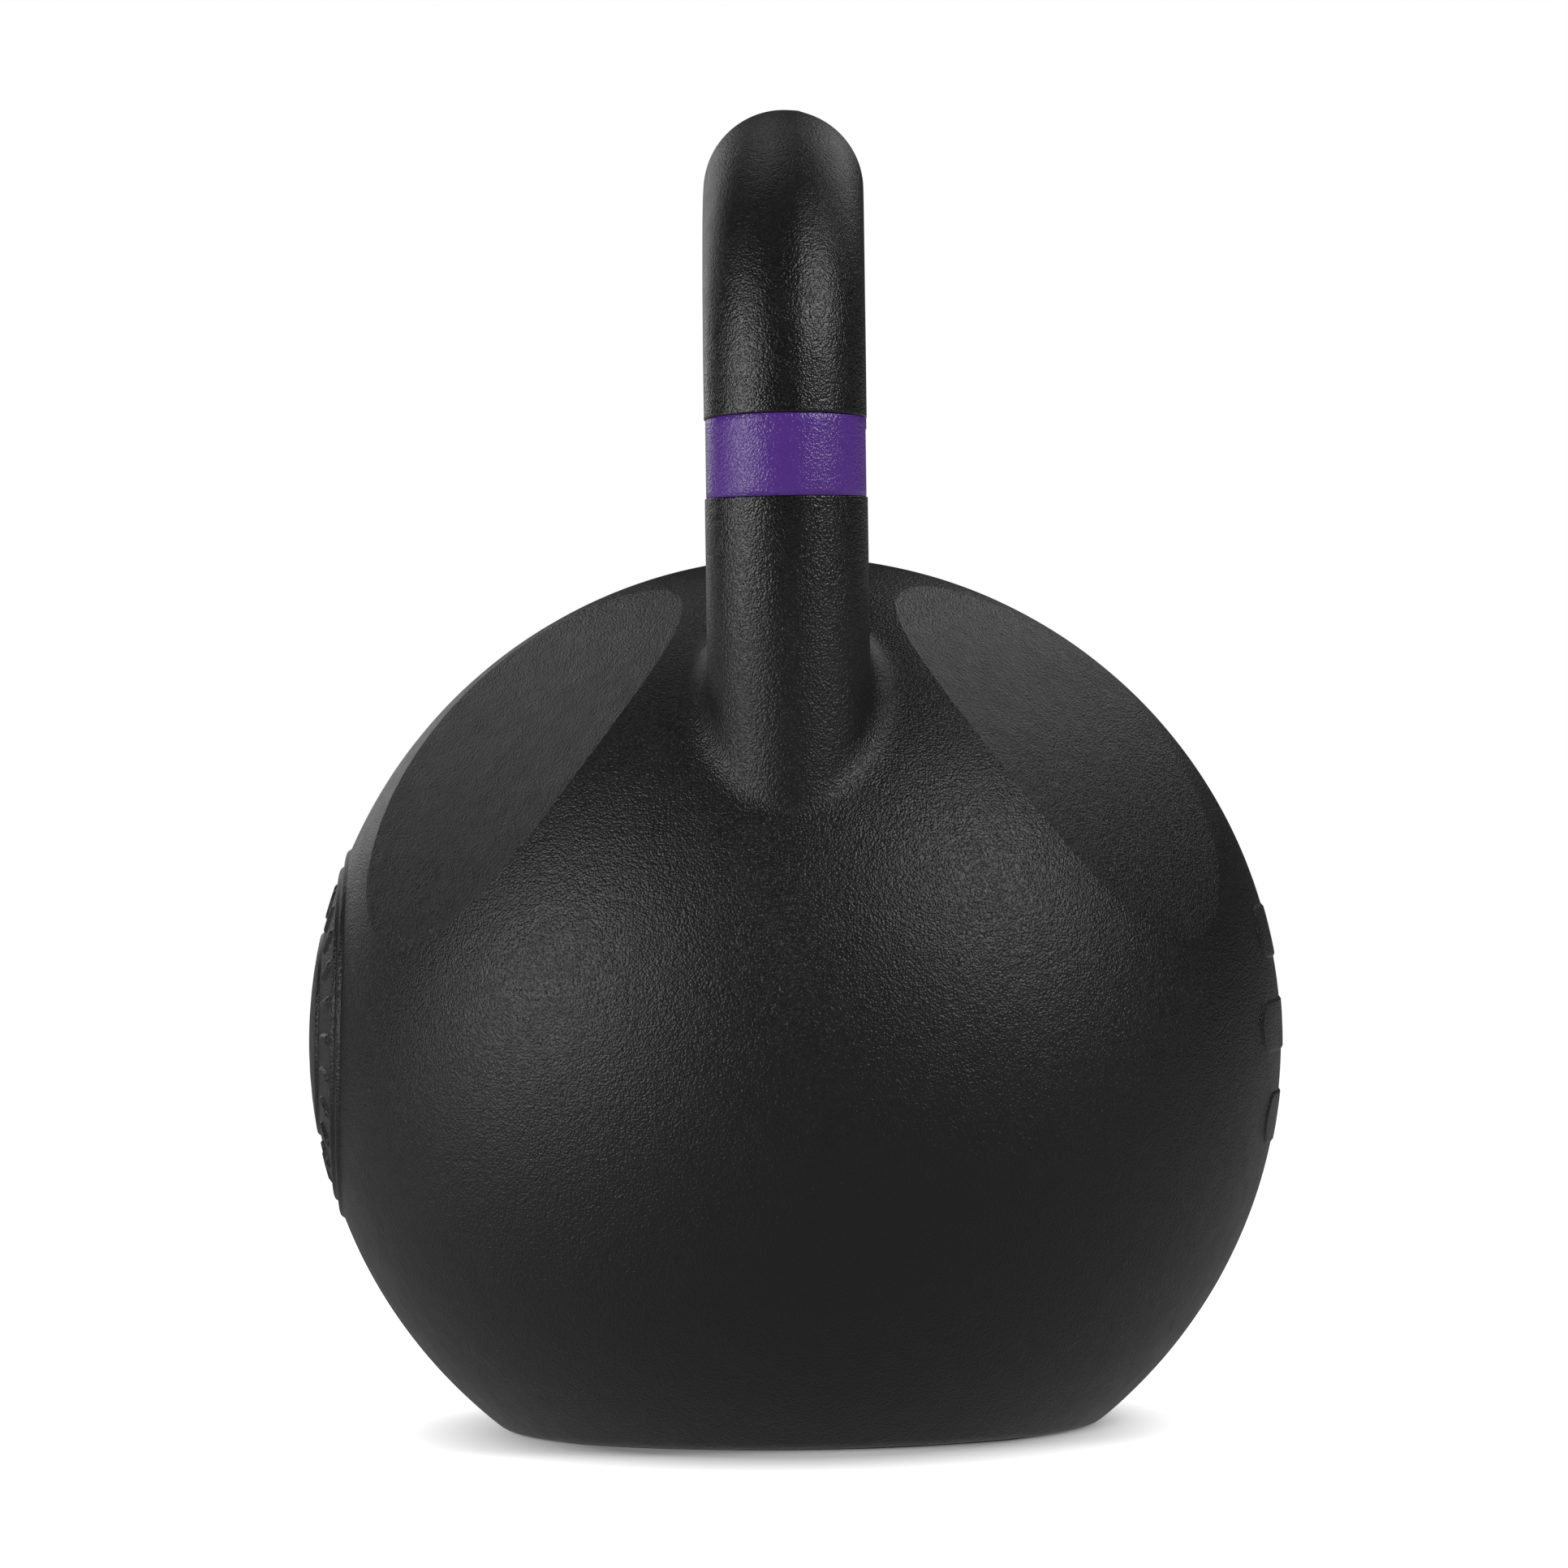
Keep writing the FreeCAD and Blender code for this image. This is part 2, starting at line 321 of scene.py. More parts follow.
def root_distance(points, casting, handle):
    """Distance outside the ball and its two horns, with a rolling-ball fillet between them."""
    ball = ball_distance(points, casting)
    fillet = casting.root_fillet
    centre = np.array([0.0, 0.0, ball_centre_height(casting)])
    mirrored = points * np.where(points[:, :1] < 0, [-1.0, 1.0, 1.0], 1.0)
    horn_axis = np.array([horn_x(casting, handle), 0.0, 0.0])
    from_axis = (mirrored - horn_axis)[:, :2]
    horn = np.linalg.norm(from_axis, axis=1) - handle.radius
    above = points[:, 2] > centre[2]
    distance = np.where(above, np.minimum(ball, horn), ball)

    near = np.flatnonzero(above & (horn < 3 * fillet) & (horn > -fillet))
    path_radius = handle.radius + fillet
    turns = np.linspace(-math.pi, math.pi, PATH_STEPS + 1)
    round_horn = np.stack([np.cos(turns), np.sin(turns), np.zeros_like(turns)], axis=1)
    path = horn_axis + path_radius * round_horn
    reach = casting.ball_radius + fillet
    path[:, 2] = centre[2] + np.sqrt(reach**2 - path[:, 0] ** 2 - path[:, 1] ** 2)
    path_squares = np.einsum("ij,ij->i", path, path) / 2
    for part in np.array_split(near, 1 + len(near) // POINTS_AT_ONCE):
        nearest = path[np.argmin(path_squares - mirrored[part] @ path.T, axis=1)]
        to_point = mirrored[part] - nearest
        to_ball = (centre - nearest) / reach
        to_horn = horn_axis - nearest
        to_horn[:, 2] = 0.0
        to_horn /= path_radius
        length = np.linalg.norm(to_point, axis=1)
        middle = to_ball + to_horn
        between = np.einsum("ij,ij->i", to_ball, middle) * length
        inside = np.einsum("ij,ij->i", to_point, middle) > between
        distance[part[inside]] = fillet - length[inside]
    return distance


SLOPE_STEP = 0.02 * MM
LEAST_SLOPE_SQUARE = 0.25
SETTLE_ROUNDS = 3


def settle_on(points, distance_of):
    """Moves points along the gradient of a distance until they lie on its zero."""
    for _ in range(SETTLE_ROUNDS):
        value = distance_of(points)
        slope = np.empty_like(points)
        for axis in range(3):
            shift = np.zeros(3)
            shift[axis] = SLOPE_STEP
            change = distance_of(points + shift) - distance_of(points - shift)
            slope[:, axis] = change / (2 * SLOPE_STEP)
        size = np.maximum(np.einsum("ij,ij->i", slope, slope), LEAST_SLOPE_SQUARE)
        points = points - slope * (value / size)[:, None]
    return points


WAVE_SEED = 20
WAVE_COUNT = 16
SHORTEST_WAVE = 14.0 * MM
LONGEST_WAVE = 38.0 * MM


def cast_waves(points):
    """Long shallow waves, from -1 to 0, the same at the same place every time."""
    draw = np.random.default_rng(WAVE_SEED)
    total = np.zeros(len(points))
    for _ in range(WAVE_COUNT):
        direction = draw.normal(size=3)
        direction /= np.linalg.norm(direction)
        wavelength = draw.uniform(SHORTEST_WAVE, LONGEST_WAVE)
        phase = draw.uniform(0.0, 2 * math.pi)
        total += np.sin(points @ direction * 2 * math.pi / wavelength + phase)
    return np.clip(total / (2 * math.sqrt(WAVE_COUNT)), -1.0, 1.0) / 2 - 0.5


# ------------------------ mesh helpers


def new_piece(name, mesh_maker, material):
    """A smooth object of a mesh that mesh_maker fills, with one material."""
    mesh = bpy.data.meshes.new(name)
    maker = bmesh.new()
    mesh_maker(maker)
    bmesh.ops.recalc_face_normals(maker, faces=maker.faces)
    maker.to_mesh(mesh)
    maker.free()
    mesh.materials.append(material)
    for polygon in mesh.polygons:
        polygon.use_smooth = True
    piece = bpy.data.objects.new(name, mesh)
    bpy.context.scene.collection.objects.link(piece)
    return piece


def points_of(mesh):
    """A mesh's points as an array."""
    flat = np.empty(len(mesh.vertices) * 3)
    mesh.vertices.foreach_get("co", flat)
    return flat.reshape(-1, 3)


def circle(radius, sides, height=0.0):
    """Points round the upright axis."""
    turns = [2 * math.pi * index / sides for index in range(sides)]
    return [Vector((radius * math.cos(turn), radius * math.sin(turn), height)) for turn in turns]


def row_edges(maker, row):
    """The edges round one closed row of a loft."""
    return [maker.edges.get((row[index], row[index - 1])) for index in range(len(row))]


def loft(maker, loops, close_rows=False, cap_first=False, cap_last=False):
    """Faces between neighbouring closed loops of points, and over the end loops if wanted."""
    rows = [[maker.verts.new(point) for point in loop] for loop in loops]
    pairs = list(zip(rows, rows[1:]))
    if close_rows:
        pairs.append((rows[-1], rows[0]))
    count = len(rows[0])
    for low, high in pairs:
        for index in range(count):
            after = (index + 1) % count
            maker.faces.new((low[index], low[after], high[after], high[index]))
    if cap_first:
        maker.faces.new(rows[0])
    if cap_last:
        maker.faces.new(rows[-1])
    return rows


# ------------------------ the handle


def bar_line(casting, handle):
    """The lengths and centres of the +X half of the bar's centre line, from the ball up."""
    lean = handle.lean_angle
    grip_height = CASTING_HIGH.z - handle.radius
    corner_z = grip_height - handle.corner_radius
    lean_start_z = corner_z + (handle.corner_radius - handle.lean_radius) * math.sin(lean)
    lean_x = horn_x(casting, handle) - handle.lean_radius
    corner_x = lean_x + (handle.lean_radius - handle.corner_radius) * math.cos(lean)
    lean_length = handle.lean_radius * lean
    corner_length = handle.corner_radius * (math.pi / 2 - lean)
    return {
        "lean_start_z": lean_start_z,
        "lean_x": lean_x,
        "corner_x": corner_x,
        "corner_z": corner_z,
        "grip_height": grip_height,
        "lean_end": lean_length,
        "corner_end": lean_length + corner_length,
        "middle": lean_length + corner_length + corner_x,
    }


def bar_place(line, casting, handle, along):
    """Centre and outward direction of the bar's section, by length from the lean's start."""
    if along <= 0:
        return Vector((horn_x(casting, handle), 0, line["lean_start_z"] + along)), Vector((1, 0, 0))
    if along <= line["lean_end"]:
        angle = along / handle.lean_radius
        out = Vector((math.cos(angle), 0, math.sin(angle)))
        return Vector((line["lean_x"], 0, line["lean_start_z"])) + out * handle.lean_radius, out
    if along <= line["corner_end"]:
        angle = handle.lean_angle + (along - line["lean_end"]) / handle.corner_radius
        out = Vector((math.cos(angle), 0, math.sin(angle)))
        return Vector((line["corner_x"], 0, line["corner_z"])) + out * handle.corner_radius, out
    x = line["corner_x"] - (along - line["corner_end"])
    return Vector((x, 0, line["grip_height"])), Vector((0, 0, 1))


BAR_SIDES = 96
BAR_STEP = 1.7 * MM
RIM_CLEARANCE = 1.0 * MM
RIM_OFFSETS = [offset * MM for offset in (-0.9, -0.5, -0.25, -0.1, 0, 0.1, 0.5, 0.9)]
SEAM_FADE = 2.0 * MM
SEAM_TURN = 0.19  # the parting line lies a little off the middle of the bar's outer face
SEAM_WIDTH = 0.9 * MM
RIM_SOFTNESS = 0.12 * MM
GROOVE_START = 0.01 * MM
GROOVE_DEPTH = 1.0 * MM
BAND_END_GAP = 0.05 * MM


def bar_stations(line, handle, start):
    """Lengths along the half bar where it gets a ring of points, closer at the band's ends."""
    stations = list(np.arange(start, line["middle"], BAR_STEP)) + [line["middle"]]
    band_ends = (handle.band_offset, handle.band_offset + handle.band_width)
    stations = [s for s in stations if min(abs(s - end) for end in band_ends) > RIM_CLEARANCE]
    for end in band_ends:
        stations += [end + offset for offset in RIM_OFFSETS]
    return sorted(stations)


def bar_radius(handle, along):
    """Radius of the bar at a length: less in the band's groove, with softened rims."""
    into = min(along - handle.band_offset, handle.band_offset + handle.band_width - along)
    if into > GROOVE_START:
        return handle.radius - GROOVE_DEPTH
    rim = max(RIM_SOFTNESS + into, 0.0) / RIM_SOFTNESS
    return handle.radius - RIM_SOFTNESS * rim**2


def bar_loop(line, casting, handle, along, radius, side, seam):
    """A ring of points round the bar on the side 1 or -1, with the parting line's ridge."""
    centre, out = bar_place(line, casting, handle, along)
    loop = []
    for index in range(BAR_SIDES):
        turn = 2 * math.pi * index / BAR_SIDES
        from_seam = ((turn - SEAM_TURN + math.pi) % (2 * math.pi) - math.pi) * radius
        height = seam * math.exp(-((from_seam / SEAM_WIDTH) ** 2))
        facing = out * math.cos(turn) + Vector((0, math.sin(turn), 0))
        point = centre + facing * (radius + height)
        point.x *= side
        loop.append(point)
    return loop


def bar_loops(casting, handle, start_height):
    """All the bar's rings, from one horn's foot over the grip to the other's."""
    line = bar_line(casting, handle)
    stations = bar_stations(line, handle, start_height - line["lean_start_z"])
    near, far = [], []
    for along in stations:
        radius = bar_radius(handle, along)
        seam = handle.seam_height * min((along - stations[0]) / SEAM_FADE, 1.0)
        near.append(bar_loop(line, casting, handle, along, radius, 1, seam))
        far.append(bar_loop(line, casting, handle, along, radius, -1, seam))
    return near + far[-2::-1]


# ------------------------ the casting

# How the horn stubs meet the bar, and how near counts as on a surface.
STUB_BELOW_LEAN = 4.0 * MM
STUB_GAP = 0.6 * MM
ON_BALL = 0.1 * MM
ON_OUTLINE = 0.01 * MM
LEVEL = 0.1 * MM
# The plug's seat, its rounded edge as (out, up), and the flat rings round it.
SEAT_CLEARANCE = 0.2 * MM
SEAT_DEPTH = 5.0 * MM
SEAT_EDGE = [(1.0 * MM, 0.0), (0.4 * MM, 0.05 * MM), (0.05 * MM, 0.4 * MM), (0.0, 1.0 * MM)]
UNDERSIDE_RADIUS = 52.0 * MM
UNDERSIDE_RINGS = (48.0 * MM, 40.0 * MM)
WAVES_START = 1.0 * MM


def rough_ball(maker, casting, handle, cut_height):
    """A ball and two horn stubs, roughly right, for the remesher to join."""
    centre = Matrix.Translation((0, 0, ball_centre_height(casting)))
    bmesh.ops.create_icosphere(maker, subdivisions=6, radius=casting.ball_radius, matrix=centre)
    floor = {"plane_co": (0, 0, 0), "plane_no": (0, 0, -1), "clear_outer": True}
    cut = bmesh.ops.bisect_plane(maker, geom=maker.verts[:] + maker.edges[:] + maker.faces[:], **floor)
    edges = [item for item in cut["geom_cut"] if isinstance(item, bmesh.types.BMEdge)]
    bmesh.ops.contextual_create(maker, geom=edges)
    low = ball_centre_height(casting)
    high = cut_height + 3 * casting.mesh_spacing
    for side in (1, -1):
        place = Matrix.Translation((side * horn_x(casting, handle), 0, (low + high) / 2))
        bmesh.ops.create_cone(
            maker,
            cap_ends=True,
            segments=BAR_SIDES,
            radius1=handle.radius,
            radius2=handle.radius,
            depth=high - low,
            matrix=place,
        )


def remeshed(piece, spacing):
    """Gives a piece one closed mesh of even squares."""
    modifier = piece.modifiers.new("even", "REMESH")
    modifier.mode = "VOXEL"
    modifier.voxel_size = spacing
    modifier.adaptivity = 0.0
    evaluated = piece.evaluated_get(bpy.context.evaluated_depsgraph_get())
    mesh = bpy.data.meshes.new_from_object(evaluated)
    piece.modifiers.remove(modifier)
    old = piece.data
    piece.data = mesh
    bpy.data.meshes.remove(old)


def open_boundary(maker, wanted):
    """The boundary edges of a mesh whose middle passes a test."""
    return [
        edge
        for edge in maker.edges
        if edge.is_boundary and wanted((edge.verts[0].co + edge.verts[1].co) / 2)
    ]


def cut_facet(maker, casting, facet):
    """Lays one facet on the ball: a crisp edge along its outline and its points on its wall."""
    centre = Vector((0, 0, ball_centre_height(casting)))
    verts = [
        vert
        for vert in maker.verts
        if vert.co.z > centre.z
        and abs((vert.co - centre).length - casting.ball_radius) < ON_BALL
    ]
    outside = facet_distance(np.array([vert.co for vert in verts]), facet)
    height = dict(zip(verts, outside))
    on_outline = {vert for vert in verts if abs(height[vert]) < ON_OUTLINE}
    crossed = [
        edge
        for edge in maker.edges
        if edge.verts[0] in height
        and edge.verts[1] in height
        and not on_outline.intersection(edge.verts)
        and (height[edge.verts[0]] > 0) != (height[edge.verts[1]] > 0)
    ]
    for edge in crossed:
        first, second = edge.verts
        share = height[first] / (height[first] - height[second])
        on_outline.add(bmesh.utils.edge_split(edge, first, share)[1])
    faces = {face for vert in on_outline for face in vert.link_faces}
    for face in faces:
        ends = [vert for vert in face.verts if vert in on_outline]
        if len(ends) == 2 and not maker.edges.get(ends):
            bmesh.utils.face_split(face, ends[0], ends[1])
    for vert in on_outline:
        for edge in vert.link_edges:
            if edge.other_vert(vert) in on_outline:
                edge.smooth = False
    inside = [vert for vert in verts if height[vert] > 0 and vert not in on_outline]
    places = np.array([vert.co for vert in inside])
    for vert, place in zip(inside, settle_on(places, lambda p: facet_distance(p, facet))):
        vert.co = place


def add_base(maker):
    """The flat underside: its middle makes way for rings round the plug's seat."""
    gone = [
        face
        for face in maker.faces
        if all(v.co.z < LEVEL / 2 and v.co.xy.length < UNDERSIDE_RADIUS for v in face.verts)
    ]
    bmesh.ops.delete(maker, geom=gone, context="FACES")
    hole = open_boundary(maker, lambda middle: middle.z < LEVEL)
    for edge in hole:
        for vert in edge.verts:
            vert.co.z = 0.0
    seat = PLUG_HIGH.x + SEAT_CLEARANCE
    seat_top = PLUG_LOW.z + SEAT_DEPTH
    profile = [(radius, 0.0) for radius in UNDERSIDE_RINGS]
    profile += [(seat + out, height) for out, height in SEAT_EDGE]
    profile += [(seat, seat_top), (seat / 2, seat_top)]
    loops = [circle(radius, BAR_SIDES, height) for radius, height in profile]
    rows = loft(maker, loops, cap_last=True)
    edges = hole + row_edges(maker, rows[0])
    bmesh.ops.triangle_fill(maker, use_beauty=True, edges=edges, normal=(0, 0, -1))


def add_bar(maker, casting, handle, cut_height):
    """Cuts the horn stubs level and joins the bar to them."""
    geometry = maker.verts[:] + maker.edges[:] + maker.faces[:]
    plane = {"plane_co": (0, 0, cut_height), "plane_no": (0, 0, 1), "clear_outer": True}
    bmesh.ops.bisect_plane(maker, geom=geometry, **plane)
    rows = loft(maker, bar_loops(casting, handle, cut_height + STUB_GAP))
    for row, side in ((rows[0], 1), (rows[-1], -1)):
        stub = open_boundary(
            maker, lambda middle: middle.x * side > 0 and abs(middle.z - cut_height) < LEVEL
        )
        bmesh.ops.bridge_loops(maker, edges=stub + row_edges(maker, row))


def build_casting(scene):
    """The coated casting as one closed mesh."""
    casting, handle = scene.bell_casting_sizes, scene.bell_handle_sizes
    cut_height = bar_line(casting, handle)["lean_start_z"] - STUB_BELOW_LEAN
    material = coat_material(scene.bell_finish_looks)
    piece = new_piece(
        "coated_casting", lambda maker: rough_ball(maker, casting, handle, cut_height), material
    )
    remeshed(piece, casting.mesh_spacing)
    mesh = piece.data
    points = settle_on(points_of(mesh), lambda p: root_distance(p, casting, handle))
    mesh.vertices.foreach_set("co", points.ravel())

    maker = bmesh.new()
    maker.from_mesh(mesh)
    for facet in facet_frames(casting):
        cut_facet(maker, casting, facet)
    add_bar(maker, casting, handle, cut_height)
    add_base(maker)
    bmesh.ops.recalc_face_normals(maker, faces=maker.faces)
    maker.normal_update()
    places = np.array([vert.co for vert in maker.verts])
    waves = cast_waves(places) * casting.waviness
    for vert, wave in zip(maker.verts, waves):
        if vert.co.z > WAVES_START:
            vert.co += vert.normal * float(wave)
    maker.to_mesh(mesh)
    maker.free()
    mesh.materials.clear()
    mesh.materials.append(material)
    for polygon in mesh.polygons:
        polygon.use_smooth = True
    return piece


# ------------------------ the badges


def on_ball(casting, badge, side, across, up, height):
    """A point over the ball's face on the side y > 0 or y < 0, by its place on the badge."""
    centre = ball_centre_height(casting)
    z = badge.rise + up
    reach = casting.ball_radius + height
    y = side * math.sqrt(reach**2 - across**2 - z**2)
    return Vector((across, y, centre + z))


RELIEF_FOOT = (-0.45 * MM, -0.4 * MM)
RELIEF_INSETS = [inset * MM for inset in (-0.2, 0.0, 0.2, 0.4, 0.6)]
RELIEF_LEVELS = (0.02, 0.25, 0.68, 0.93, 1.0)
RIDGE_SIDES = 180
DISC_SIDES = 120
DISC_RINGS = (0.85, 0.7, 0.5, 0.3, 0.12)
PILL_RINGS = (0.7, 0.35)
PILL_END_STEPS = 12
PILL_SIDE_STEPS = 9


def relief_edge(height):
    """Inset and height of the points that round a raised shape's edge, from inside the ball."""
    levels = [height * share for share in RELIEF_LEVELS]
    return [RELIEF_FOOT, *zip(RELIEF_INSETS, levels)]


def add_ridge(maker, casting, badge, outer):
    """A closed raised ring of the ring badge."""
    edge = relief_edge(badge.ring_height)[:-1]
    profile = [(outer - inset, height) for inset, height in edge]
    profile += [(outer - badge.ridge_width + inset, height) for inset, height in reversed(edge)]
    rings = [
        [on_ball(casting, badge, -1, x, y, height) for x, y, _ in circle(radius, RIDGE_SIDES)]
        for radius, height in profile
    ]
    loft(maker, list(zip(*rings)), close_rows=True)


def add_disc(maker, casting, badge):
    """The raised disc of the ring badge, with a soft rim."""
    top = badge.ring_height
    profile = [(badge.disc_radius - inset, height) for inset, height in relief_edge(top)]
    inner = profile[-1][0]
    profile += [(inner * share, top) for share in DISC_RINGS]
    rings = [
        [on_ball(casting, badge, -1, x, y, height) for x, y, _ in circle(radius, DISC_SIDES)]
        for radius, height in profile
    ]
    loft(maker, rings, cap_first=True, cap_last=True)


def stadium(half_length, radius):
    """Points round a bar with round ends, as across and up."""
    points = []
    for end in (1, -1):
        for index in range(PILL_END_STEPS + 1):
            turn = math.pi * (index / PILL_END_STEPS - 0.5)
            across = end * (half_length + radius * math.cos(turn))
            points.append((across, end * radius * math.sin(turn)))
        for share in np.linspace(0.0, 1.0, PILL_SIDE_STEPS + 1)[1:-1]:
            points.append((end * half_length * (1 - 2 * share), end * radius))
    return points


def close_across(maker, row, start):
    """Closes a long loop with strips between its two sides, from its point number start."""
    count = len(row)
    for step in range(count // 2):
        near = (row[(start + step) % count], row[(start + step + 1) % count])
        far = (row[start - step - 1], row[start - step])
        maker.faces.new(list(dict.fromkeys((*near, *far))))


def add_pill(maker, place, half_length, radius, height):
    """A raised bar with round ends; place turns across, up and height into a point."""
    profile = [(radius - inset, level) for inset, level in relief_edge(height)]
    inner = profile[-1][0]
    profile += [(inner * share, height) for share in PILL_RINGS]
    loops = []
    for level_radius, level in profile:
        outline = stadium(half_length, level_radius)
        loops.append([place(across, up, level) for across, up in outline])
    rows = loft(maker, loops)
    for row in (rows[0], rows[-1]):
        close_across(maker, row, PILL_END_STEPS // 2)


def fill_ring_badge(maker, casting, badge):
    """Two ridges, a ring of ticks and a disc on the -Y face."""
    for outer in (badge.outer_ridge, badge.inner_ridge):
        add_ridge(maker, casting, badge, outer)
    add_disc(maker, casting, badge)
    middle = (badge.tick_inner + badge.tick_outer) / 2
    radius = badge.tick_width / 2
    half = (badge.tick_outer - badge.tick_inner) / 2 - radius
    for index in range(badge.tick_count):
        turn = 2 * math.pi * index / badge.tick_count

        def place(along, over, level, turn=turn):
            across = (middle + along) * math.sin(turn) + over * math.cos(turn)
            up = (middle + along) * math.cos(turn) - over * math.sin(turn)
            return on_ball(casting, badge, -1, across, up, level)

        add_pill(maker, place, half, radius, badge.ring_height)


def fill_bar_badge(maker, casting, badge):
    """Three bars with round ends, one above the other, on the +Y face."""
    radius = badge.bar_height / 2
    for index, length in enumerate(badge.bar_lengths):
        lift = (1 - index) * badge.bar_spacing

        def place(across, up, level, lift=lift):
            return on_ball(casting, badge, 1, across, lift + up, level)

        add_pill(maker, place, length / 2 - radius, radius, badge.bar_relief)


# ------------------------ the bands

BAND_EDGE = [(0.0, 0.5 * MM), (0.0, 0.12 * MM), (0.1 * MM, 0.02 * MM)]
BAND_STEPS = 12


def fill_band(maker, casting, handle, side):
    """A coloured band round one horn, a little below the black coat."""
    line = bar_line(casting, handle)
    start = handle.band_offset + BAND_END_GAP
    end = handle.band_offset + handle.band_width - BAND_END_GAP
    face = handle.radius - handle.band_sink
    profile = [(start + inset, face - drop) for inset, drop in BAND_EDGE]
    profile += [(along, face) for along in np.linspace(start, end, BAND_STEPS + 1)[1:-1]]
    profile += [(end - inset, face - drop) for inset, drop in reversed(BAND_EDGE)]
    seam = handle.seam_height / 2
    loops = [
        bar_loop(line, casting, handle, along, radius, side, seam) for along, radius in profile
    ]
    loft(maker, loops, close_rows=True)


# ------------------------ materials

# Heights over which the coat's finish changes to the horns', and then to the grip's top.
HORN_FINISH = (165.0 * MM, 200.0 * MM)
TOP_FINISH = (215.0 * MM, 262.0 * MM)
MOTTLE_SIZE = 9.0 * MM
DRIFT_SIZE = 5.0 * MM
DRIFT = 0.035
RIPPLE_SIZE = 3.2 * MM
RIPPLE_HEIGHT = 0.12 * MM
SOFT_GRAIN_SHARE = 1.9
DOME_REACH = 0.75
DOME_HEIGHT = 0.6
NOISE_MIDDLE = (0.3, 0.7)
BAND_MOTTLE_SIZE = 4.0 * MM
BAND_ROUGHNESS_SIZE = 3.0 * MM
BAND_ROUGHNESS = (0.20, 0.26)
BAND_SHADE = 0.86
TURNING_PITCH = 0.35 * MM
TURNING_HEIGHT = 0.01 * MM
STAIN_SIZE = 7.0 * MM
STAIN_SHADE = 0.7
STEEL_ROUGHNESS = (0.30, 0.48)


def new_material(name):
    """A material with only its surface shader, its node tree and that shader."""
    material = bpy.data.materials.new(name)
    material.use_nodes = True
    tree = material.node_tree
    tree.nodes.clear()
    output = tree.nodes.new("ShaderNodeOutputMaterial")
    shader = tree.nodes.new("ShaderNodeBsdfPrincipled")
    tree.links.new(shader.outputs["BSDF"], output.inputs["Surface"])
    return material, tree, shader


def add_node(tree, kind, **values):
    """A node with some of its inputs or settings given by name."""
    node = tree.nodes.new(kind)
    for key, value in values.items():
        if key in node.inputs:
            node.inputs[key].default_value = value
        else:
            setattr(node, key, value)
    return node


def noise_at(tree, place, size, detail=2.0, roughness=0.5):
    """Noise whose features are about size metres across."""
    node = add_node(tree, "ShaderNodeTexNoise", Scale=1 / size, Detail=detail, Roughness=roughness)
    tree.links.new(place.outputs["Object"], node.inputs["Vector"])
    return node.outputs["Fac"]


def spread(tree, value, from_range, to_range):
    """A value stretched from one range to another, clamped."""
    node = add_node(tree, "ShaderNodeMapRange")
    names = ("From Min", "From Max", "To Min", "To Max")
    for name, number in zip(names, (*from_range, *to_range)):
        node.inputs[name].default_value = number
    tree.links.new(value, node.inputs["Value"])
    return node.outputs["Result"]


def combine(tree, operation, first, second):
    """A Math node of two values; either may be a number."""
    node = add_node(tree, "ShaderNodeMath", operation=operation)
    for socket, value in zip(node.inputs, (first, second)):
        if isinstance(value, (int, float)):
            socket.default_value = value
        else:
            tree.links.new(value, socket)
    return node.outputs["Value"]


def split_place(tree, place):
    """The X, Y and Z of a place, as the outputs of one node."""
    split = add_node(tree, "ShaderNodeSeparateXYZ")
    tree.links.new(place.outputs["Object"], split.inputs["Vector"])
    return split.outputs


def coloured(tree, shader, mottle, first, second):
    """Gives the shader a colour between two, by a mottle."""
    mix = add_node(tree, "ShaderNodeMix", data_type="RGBA")
    mix.inputs["A"].default_value = (*first, 1.0)
    mix.inputs["B"].default_value = (*second, 1.0)
    tree.links.new(mottle, mix.inputs["Factor"])
    tree.links.new(mix.outputs["Result"], shader.inputs["Base Color"])


def shaded(colour, share):
    """A colour with each channel at a share of its value."""
    return tuple(channel * share for channel in colour)


def bumped(tree, shader, height, distance, before=None):
    """Adds a bump to the shader, over an earlier one if given."""
    bump = add_node(tree, "ShaderNodeBump", Strength=1.0, Distance=distance)
    tree.links.new(height, bump.inputs["Height"])
    if before:
        tree.links.new(before, bump.inputs["Normal"])
    tree.links.new(bump.outputs["Normal"], shader.inputs["Normal"])
    return bump.outputs["Normal"]


def pebble_height(tree, place, grain):
    """The pebbled skin of a textured powder coat: domes of uneven size over soft noise."""
    cells = add_node(tree, "ShaderNodeTexVoronoi", feature="SMOOTH_F1", Smoothness=0.6)
    cells.inputs["Scale"].default_value = 1 / grain
    tree.links.new(place.outputs["Object"], cells.inputs["Vector"])
    domes = spread(tree, cells.outputs["Distance"], (0.0, DOME_REACH), (1.0, 0.0))
    soft = noise_at(tree, place, grain * SOFT_GRAIN_SHARE, 3.0, 0.55)
    return combine(tree, "ADD", combine(tree, "MULTIPLY", domes, DOME_HEIGHT), soft)


